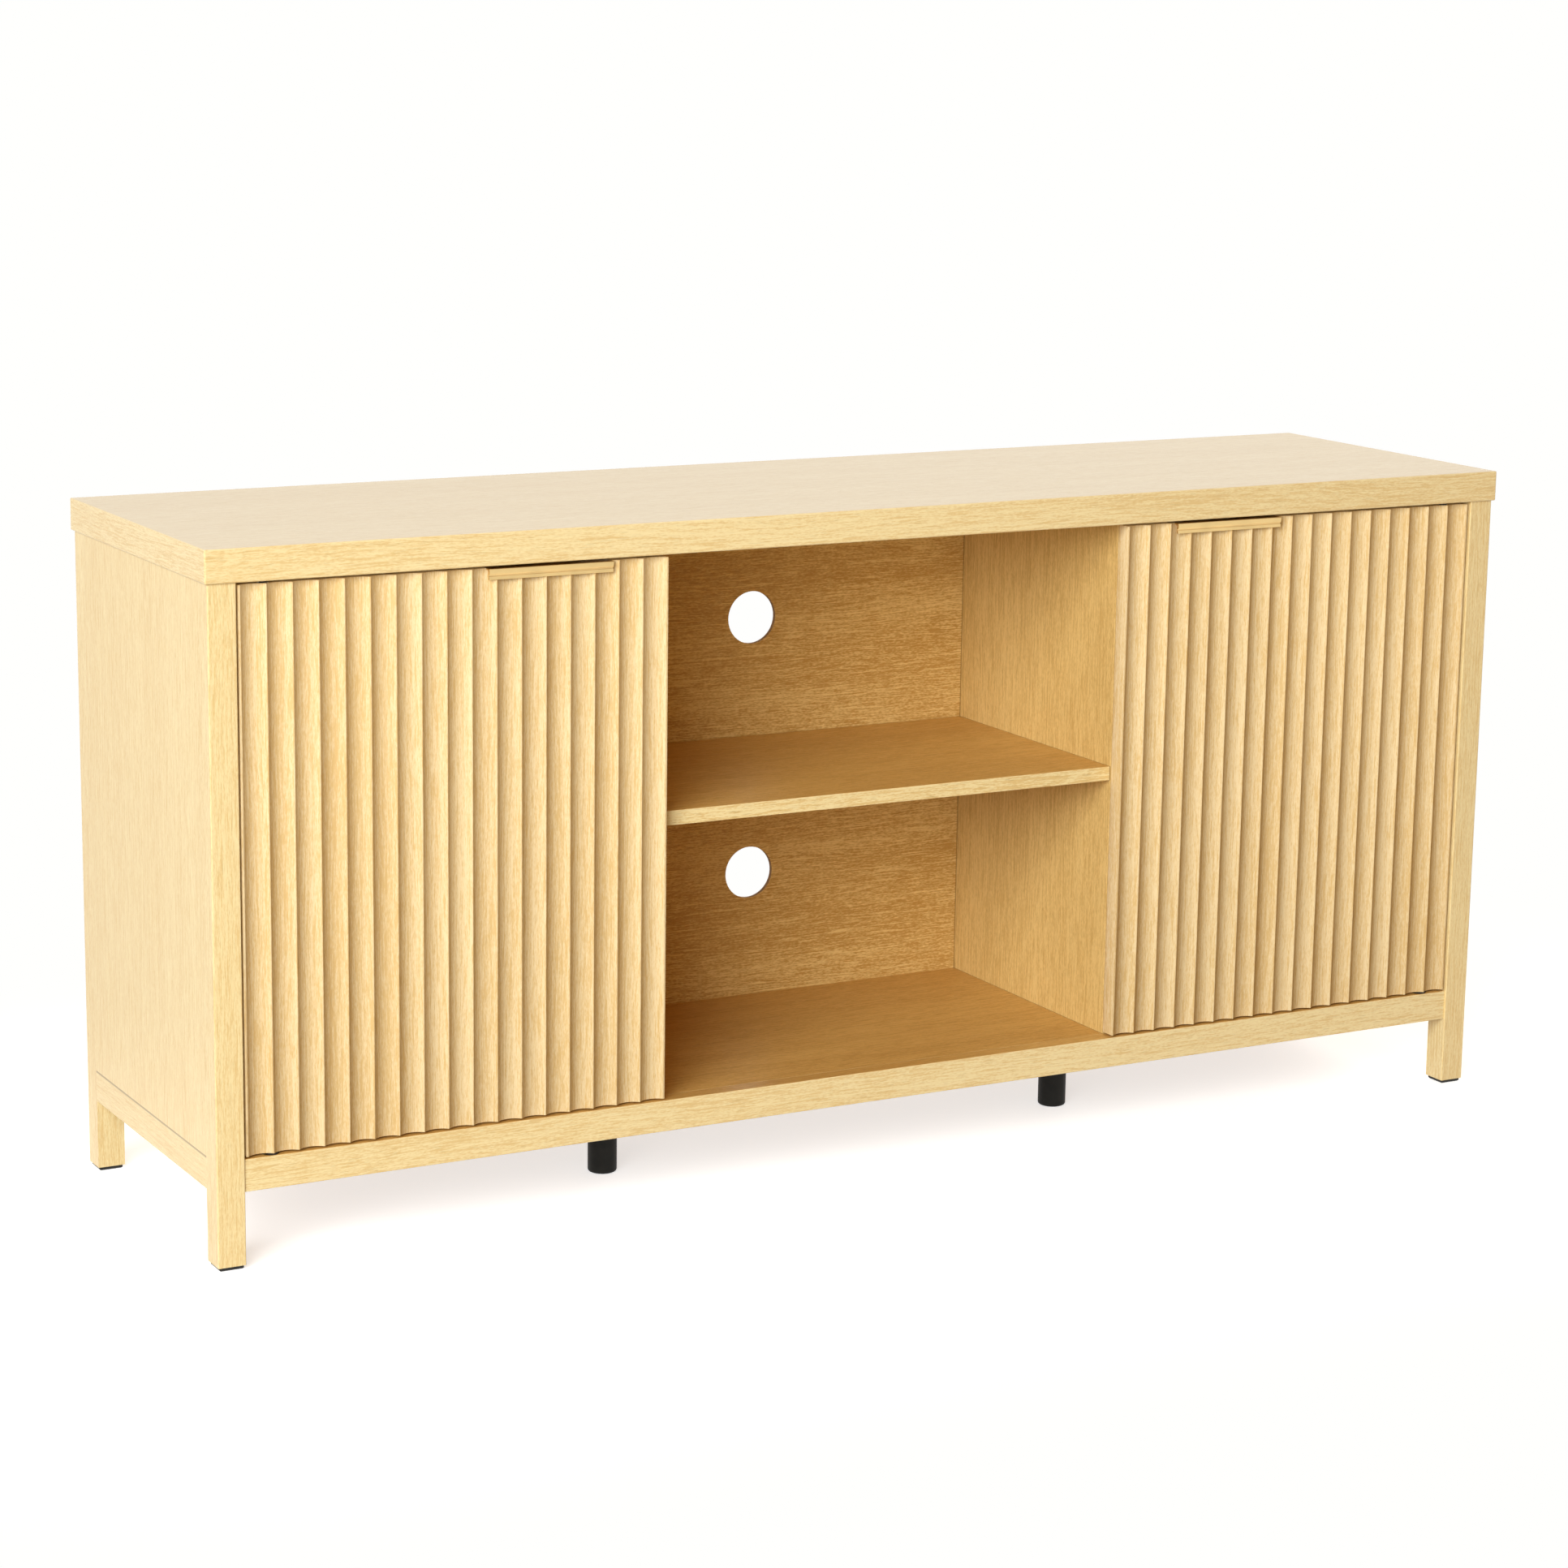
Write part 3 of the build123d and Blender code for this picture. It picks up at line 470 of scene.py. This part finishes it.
def prism(points, low, high, lift):
    """A straight bar from a closed outline; lift places an outline point at a height along the bar."""
    shape = bmesh.new()
    ends = [[shape.verts.new(lift(a, b, height)) for a, b in points] for height in (low, high)]
    for here in range(len(points)):
        there = (here + 1) % len(points)
        shape.faces.new((ends[0][here], ends[0][there], ends[1][there], ends[1][here]))
    shape.faces.new(reversed(ends[0]))
    shape.faces.new(ends[1])
    return shape


def ease(shape, width, segments=2, sharper_than=20.0):
    """Round every edge that turns more than an angle."""
    bmesh.ops.recalc_face_normals(shape, faces=shape.faces)
    sharp = [edge for edge in shape.edges if edge.calc_face_angle(0.0) > math.radians(sharper_than)]
    bmesh.ops.bevel(shape, geom=sharp, offset=width, segments=segments, profile=0.5, affect="EDGES",
                    clamp_overlap=True)


def box_cutter(low, high):
    """A block to cut with."""
    shape = bmesh.new()
    middle = (Vector(low) + Vector(high)) / 2
    stretch = Matrix.Diagonal((*(Vector(high) - Vector(low)), 1.0))
    bmesh.ops.create_cube(shape, size=1.0, matrix=Matrix.Translation(middle) @ stretch)
    return shape


def round_cutter(centre, radius, top_radius, low, high, segments=64):
    """An upright round bar or cone to cut with."""
    shape = bmesh.new()
    middle = Matrix.Translation((centre[0], centre[1], (low + high) / 2))
    bmesh.ops.create_cone(shape, cap_ends=True, segments=segments, radius1=radius, radius2=top_radius,
                          depth=high - low, matrix=middle)
    return shape


def cut(piece, cutters):
    """Take shapes out of a piece for good."""
    tools = []
    for number, shape in enumerate(cutters):
        mesh = bpy.data.meshes.new(f"cutter_{number}")
        shape.to_mesh(mesh)
        shape.free()
        tool = bpy.data.objects.new(mesh.name, mesh)
        bpy.context.scene.collection.objects.link(tool)
        knife = piece.modifiers.new(mesh.name, "BOOLEAN")
        knife.operation = "DIFFERENCE"
        knife.solver = "EXACT"
        knife.object = tool
        tools.append(tool)
    graph = bpy.context.evaluated_depsgraph_get()
    whole = piece.data
    piece.data = bpy.data.meshes.new_from_object(piece.evaluated_get(graph))
    piece.modifiers.clear()
    bpy.data.meshes.remove(whole)
    for tool in tools:
        bpy.data.meshes.remove(tool.data)


def flute_pitch(sizes, low, high):
    return (high.x - low.x - 2 * sizes.edge_land + sizes.ridge_land) / sizes.flute_count


def fluted_outline(sizes, low, high, steps=18):
    """The door's section from above: a straight back and a front of concave arcs."""
    pitch = flute_pitch(sizes, low, high)
    chord = pitch - sizes.ridge_land
    radius = (chord ** 2 / 4 + sizes.flute_depth ** 2) / (2 * sizes.flute_depth)
    half_turn = math.asin(chord / 2 / radius)
    points = [(low.x, high.y), (low.x, low.y)]
    for flute in range(sizes.flute_count):
        middle = low.x + sizes.edge_land + flute * pitch + chord / 2
        for step in range(steps + 1):
            turn = half_turn * (2 * step / steps - 1)
            points.append((middle + radius * math.sin(turn),
                           low.y + sizes.flute_depth - radius * (1 - math.cos(turn))))
    return points + [(high.x, low.y), (high.x, high.y)]


def bore_cutter(sizes, node, low_end, high_end):
    """Room for a round piece of the frame."""
    low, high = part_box(node)
    middle = (low + high) / 2
    radius = (high.x - low.x) / 2 + sizes.seat_play
    return round_cutter(middle, radius, radius, low.z if low_end is None else low_end,
                        high.z if high_end is None else high_end)


class CABINET_OT_top(bpy.types.Operator):
    """Give the slab its pale veneer with banded ends"""
    bl_idname = "cabinet.top"
    bl_label = "Top"

    def execute(self, context):
        hues = context.scene.cabinet_colours
        # Faces that look up get paler wood, a painted sheen.
        coat(oak("oak_top", hues.front_light, hues.front_dark, "X", 1, contrast=0.9, end_bands=True,
                 sheen=0.7, calm=0.5, upper=(hues.top_sheen_light, hues.top_sheen_dark)), "top_panel")
        return {"FINISHED"}


class CABINET_OT_frame(bpy.types.Operator):
    """Give posts and rails oak with the grain along each piece"""
    bl_idname = "cabinet.frame"
    bl_label = "Posts and rails"

    def execute(self, context):
        hues = context.scene.cabinet_colours
        for number, side in enumerate(SIDES):
            coat(oak(f"oak_post_{side}", hues.front_light, hues.front_dark, "Z", 3 + number,
                     contrast=0.8), f"{side}_front_post", f"{side}_rear_post")
        # The side rails carry a painted shadow line where the side panels meet them.
        coat(oak("oak_side_rail", hues.front_light, hues.front_dark, "Y", 7, contrast=0.6,
                 joint=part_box("left_side_rail")[1].z), *pair("side_rail"))
        # The long rails' upper faces take the darker inside wood as painted shade.
        coat(oak("oak_long_rail", hues.front_light, hues.front_dark, "X", 6,
                 upper=(hues.shaded_inside_light, hues.shaded_inside_dark)), "front_rail", "rear_rail")
        return {"FINISHED"}


class CABINET_OT_panels(bpy.types.Operator):
    """Give side panels and dividers upright oak veneer"""
    bl_idname = "cabinet.panels"
    bl_label = "Sides and dividers"

    def execute(self, context):
        hues = context.scene.cabinet_colours
        for number, side in enumerate(SIDES):
            coat(oak(f"oak_side_{side}", hues.front_light, hues.front_dark, "Z", 3 + number,
                     contrast=0.6), f"{side}_side_panel")
            # Dividers get the darker copy of the oak, a painted shade.
            coat(oak(f"oak_divider_{side}", hues.shaded_divider_light, hues.shaded_divider_dark, "Z", 9 + number,
                     contrast=1.0, sheen=0.1, gloss=0.25), f"{side}_divider")
        return {"FINISHED"}


class CABINET_OT_shelves(bpy.types.Operator):
    """Give shelves and floor oak veneer along the width"""
    bl_idname = "cabinet.shelves"
    bl_label = "Shelves and floor"

    def execute(self, context):
        hues = context.scene.cabinet_colours
        bay_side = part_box("right_divider")[0].x
        boards = ("middle_shelf", "bottom_panel", *pair("shelf"))
        for number, board in enumerate(boards):
            # Shelves and floor get the darker copy of the oak, a painted shade; their front edges keep the
            # front wood.
            coat(oak(f"oak_{board}", hues.shaded_inside_light, hues.shaded_inside_dark, "X", 12 + number,
                     contrast=1.4, edge=(hues.front_light, hues.front_dark), seam=bay_side, sheen=0.05,
                     gloss=0.25), board)
        return {"FINISHED"}


class CABINET_OT_backs(bpy.types.Operator):
    """Give the thin backs printed oak in front and bare board behind"""
    bl_idname = "cabinet.backs"
    bl_label = "Backs"

    def execute(self, context):
        hues = context.scene.cabinet_colours
        bay_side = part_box("right_divider")[0].x
        for number, board in enumerate(("middle_back_panel", *pair("back_panel"))):
            # A hairline of painted contact shadow runs beside the dividers.
            coat(raw_rear(f"board_{board}", hues.back_light, hues.back_dark, hues.raw_board, 20 + number,
                          seam=bay_side), board)
        return {"FINISHED"}


class CABINET_OT_doors(bpy.types.Operator):
    """Model the fluted doors, with room for their pulls and pivots"""
    bl_idname = "cabinet.doors"
    bl_label = "Fluted doors"

    def execute(self, context):
        sizes = context.scene.cabinet_sizes
        hues = context.scene.cabinet_colours
        for number, side in enumerate(SIDES):
            low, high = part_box(f"{side}_door")
            shape = prism(fluted_outline(sizes, low, high), low.z, high.z, lambda x, y, z: (x, y, z))
            ease(shape, sizes.door_ease)
            finish = oak(f"oak_door_{side}", hues.door_light, hues.door_dark, "Z", 30 + number,
                         contrast=0.8, strips=(low.x + sizes.edge_land, flute_pitch(sizes, low, high)),
                         sheen=0.0, gloss=0.0)
            door = place_piece(f"{side}_fluted_door", shape, finish, f"{side}_leaf", "oak_door",
                               f"{side}_door")
            pull_low, pull_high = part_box(f"{side}_handle")
            play = sizes.seat_play
            recess = box_cutter((pull_low.x - play, low.y - CUT_PAST, high.z - sizes.pull_flange),
                                (pull_high.x + play, pull_high.y + play, high.z + CUT_PAST))
            cut(door, [recess,
                       bore_cutter(sizes, f"{side}_lower_pivot_bush", low.z - CUT_PAST, None),
                       bore_cutter(sizes, f"{side}_upper_pivot_sleeve", None, high.z + CUT_PAST)])
            smooth(door)
        return {"FINISHED"}


class CABINET_OT_pulls(bpy.types.Operator):
    """Model the brass edge pulls with their bead, groove and lip"""
    bl_idname = "cabinet.pulls"
    bl_label = "Edge pulls"

    def execute(self, context):
        sizes = context.scene.cabinet_sizes
        finish = satin_brass("satin_brass", context.scene.cabinet_colours.brass)
        for side in SIDES:
            low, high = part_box(f"{side}_handle")
            shape = prism(self.section(sizes, low, high), low.x, high.x, lambda y, z, x: (x, y, z))
            ease(shape, sizes.pull_ease)
            pull = place_piece(f"{side}_edge_pull", shape, finish, f"{side}_leaf", "brass_pull",
                               f"{side}_handle")
            screw_low, screw_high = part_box(f"{side}_handle_screws")
            head = sizes.screw_head / 2
            shank = sizes.screw_shank / 2
            past = sizes.pull_flange
            seats = []
            for x in (screw_low.x + head, screw_high.x - head):
                centre = (x, (screw_low.y + screw_high.y) / 2)
                seats.append(round_cutter(centre, shank, 2 * head - shank, high.z - past, high.z + past))
                seats.append(round_cutter(centre, shank, shank, high.z - 3 * past, high.z))
            cut(pull, seats)
            smooth(pull)
            coat(finish, f"{side}_handle_screws")
        return {"FINISHED"}

    def section(self, sizes, low, high, steps=14):
        """The pull's outline from its side: flange, lip, groove and rounded bead."""
        door_front = low.y + sizes.pull_bead_proud
        lip_face = door_front - sizes.pull_lip_proud
        bead_under = high.z - sizes.pull_bead
        lip_top = bead_under - sizes.pull_groove
        groove_face = lip_face + sizes.pull_groove
        flange_under = high.z - sizes.pull_flange
        points = [(groove_face, bead_under), (groove_face, lip_top), (lip_face, lip_top), (lip_face, low.z),
                  (door_front, low.z), (door_front, flange_under), (high.y, flange_under), (high.y, high.z)]
        rise = sizes.pull_bead_proud - sizes.pull_lip_proud
        radius = (sizes.pull_bead ** 2 / 4 + rise ** 2) / (2 * rise)
        half_turn = math.asin(sizes.pull_bead / 2 / radius)
        middle = high.z - sizes.pull_bead / 2
        for step in range(steps + 1):
            turn = half_turn * (1 - 2 * step / steps)
            points.append((low.y + radius * (1 - math.cos(turn)), middle + radius * math.sin(turn)))
        return points


class CABINET_OT_legs(bpy.types.Operator):
    """Give support legs, their screws and the pads their finish"""
    bl_idname = "cabinet.legs"
    bl_label = "Support legs and pads"

    def execute(self, context):
        hues = context.scene.cabinet_colours
        coat(powder_black("powder_black", hues.black), *pair("support_leg"), "support_leg_screws")
        coat(moulded("black_pad", hues.black, 0.55), "leg_pads")
        return {"FINISHED"}


class CABINET_OT_hardware(bpy.types.Operator):
    """Give pivots, catches, pins and dowels their finish"""
    bl_idname = "cabinet.hardware"
    bl_label = "Small hardware"

    def execute(self, context):
        hues = context.scene.cabinet_colours
        steel = zinc_plate("zinc_plate", hues.zinc)
        coat(steel, *pair("strike_plate"), *pair("strike_screw"), "catch_screws", "shelf_pins")
        coat(zinc_plate("pin_steel", hues.pin_steel), *pair("lower_pivot_pin"), *pair("upper_pivot_pin"))
        coat(moulded("white_nylon", hues.nylon, 0.38), *pair("lower_pivot_bush"),
             *pair("upper_pivot_sleeve"), *pair("upper_pivot_bush"), *pair("door_catch"))
        coat(moulded("ferrite", hues.ferrite, 0.6), *pair("catch_magnet"))
        coat(moulded("soft_gel", hues.gel, 0.3), "door_bumpers")
        coat(oak("beech_dowel", hues.beech, [0.8 * channel for channel in hues.beech], "Z", 40), "dowels")
        return {"FINISHED"}


class CABINET_OT_stage(bpy.types.Operator):
    """Set the floor, the lamps, the white room and the camera"""
    bl_idname = "cabinet.stage"
    bl_label = "Stage"

    def execute(self, context):
        stage = context.scene.cabinet_stage
        context.scene.view_settings.view_transform = "Standard"
        self.floor(context, stage)
        self.room(context, stage)
        self.lamp(context, "key_lamp", stage.key_place, stage.key_power, stage.key_colour, stage.lamp_size)
        self.lamp(context, "rear_lamp", stage.rear_place, stage.rear_power, WHITE, stage.lamp_size)
        self.camera(context, stage)
        return {"FINISHED"}

    def floor(self, context, stage, reach=30.0):
        shape = bmesh.new()
        bmesh.ops.create_circle(shape, cap_ends=True, segments=128, radius=reach)
        mesh = bpy.data.meshes.new("studio_floor")
        shape.to_mesh(mesh)
        shape.free()
        floor = bpy.data.objects.new("studio_floor", mesh)
        context.scene.collection.objects.link(floor)
        finish = material("studio_floor")
        place = finish.node("ShaderNodeTexCoord", output="Object")
        away = self.away(finish, place)
        white = finish.node("ShaderNodeEmission", None, {"Color": shade(WHITE), "Strength": 1.0})
        paint = finish.node("ShaderNodeBsdfDiffuse", None, {"Color": shade(stage.floor_colour)})
        glow = finish.node("ShaderNodeEmission", None, {"Strength": stage.floor_glow})
        near = finish.node("ShaderNodeAddShader", None, {0: paint, 1: glow})
        shown = finish.node("ShaderNodeMixShader", None,
                            {0: finish.step(away, 0.0, stage.floor_fade), 1: near, 2: white})
        bounce = finish.node("ShaderNodeBsdfDiffuse", None, {"Color": shade(stage.floor_bounce)})
        blend = finish.node("ShaderNodeMixShader", None, {0: self.seen(finish), 1: bounce, 2: shown})
        finish.node("ShaderNodeOutputMaterial", None, {"Surface": blend})
        mesh.materials.append(finish.owner)

    def away(self, finish, place):
        """Distance of a point of the floor from the cabinet's footprint."""
        reach = Vector(CAD_BOUNDS[1])
        parts = finish.split(place)
        beyond = [finish.math("MAXIMUM", abs(parts[axis]) - reach[axis], 0.0) for axis in range(2)]
        flat = finish.node("ShaderNodeCombineXYZ", None, {0: beyond[0], 1: beyond[1]})
        return finish.node("ShaderNodeVectorMath", {"operation": "LENGTH"}, {0: flat}, "Value")

    def seen(self, finish):
        """1 for rays that show the background: from the camera, a mirror or glass."""
        rays = [finish.node("ShaderNodeLightPath", output=f"Is {kind} Ray")
                for kind in ("Camera", "Glossy", "Transmission")]
        return finish.math("MINIMUM", rays[0] + rays[1] + rays[2], 1.0)

    def room(self, context, stage):
        world = context.scene.world or bpy.data.worlds.new("white_room")
        context.scene.world = world
        finish = Finish(world)
        white = finish.mix(self.seen(finish), stage.fill_colour, WHITE)
        light = finish.node("ShaderNodeBackground", None, {"Color": white, "Strength": 1.0})
        finish.node("ShaderNodeOutputWorld", None, {"Surface": light})

    def lamp(self, context, name, place, power, tint, size):
        light = bpy.data.lights.new(name, "AREA")
        light.shape = "DISK"
        light.size = size
        light.energy = power
        light.color = tint
        lamp = bpy.data.objects.new(name, light)
        context.scene.collection.objects.link(lamp)
        lamp.location = place
        lamp.visible_glossy = False
        middle = (Vector(CAD_BOUNDS[0]) + Vector(CAD_BOUNDS[1])) / 2
        lamp.rotation_euler = (middle - lamp.location).to_track_quat("-Z", "Y").to_euler()

    def camera(self, context, stage):
        lens = bpy.data.cameras.new("camera")
        lens.sensor_width = SENSOR_WIDTH
        lens.lens = stage.camera_lens
        camera = bpy.data.objects.new("camera", lens)
        context.scene.collection.objects.link(camera)
        camera.matrix_world = (Matrix.Translation(stage.camera_place)
                               @ Matrix.Rotation(stage.camera_azimuth, 4, "Z")
                               @ Matrix.Rotation(math.pi / 2 - stage.camera_elevation, 4, "X")
                               @ Matrix.Rotation(stage.camera_roll, 4, "Z"))
        context.scene.camera = camera


BUILD_ORDER = (CABINET_OT_top, CABINET_OT_frame, CABINET_OT_panels, CABINET_OT_shelves, CABINET_OT_backs,
               CABINET_OT_doors, CABINET_OT_pulls, CABINET_OT_legs, CABINET_OT_hardware, CABINET_OT_stage)


class CABINET_PT_build(bpy.types.Panel):
    """Lists the pieces of the cabinet in the order they are made"""
    bl_idname = "CABINET_PT_build"
    bl_label = "Oak media cabinet"
    bl_space_type = "VIEW_3D"
    bl_region_type = "UI"
    bl_category = "Cabinet"

    def draw(self, context):
        for operator in BUILD_ORDER:
            self.layout.operator(operator.bl_idname)


SETTINGS = {"cabinet_sizes": CabinetSizes, "cabinet_colours": CabinetColours, "cabinet_stage": CabinetStage}


def register():
    for group in SETTINGS.values():
        bpy.utils.register_class(group)
    for name, group in SETTINGS.items():
        setattr(bpy.types.Scene, name, PointerProperty(type=group))
    for operator in BUILD_ORDER:
        bpy.utils.register_class(operator)
    bpy.utils.register_class(CABINET_PT_build)


def unregister():
    bpy.utils.unregister_class(CABINET_PT_build)
    for operator in reversed(BUILD_ORDER):
        bpy.utils.unregister_class(operator)
    for name, group in SETTINGS.items():
        delattr(bpy.types.Scene, name)
        bpy.utils.unregister_class(group)


def main():
    register()
    for operator in BUILD_ORDER:
        group, name = operator.bl_idname.split(".")
        getattr(getattr(bpy.ops, group), name)()


if __name__ == "__main__":
    main()
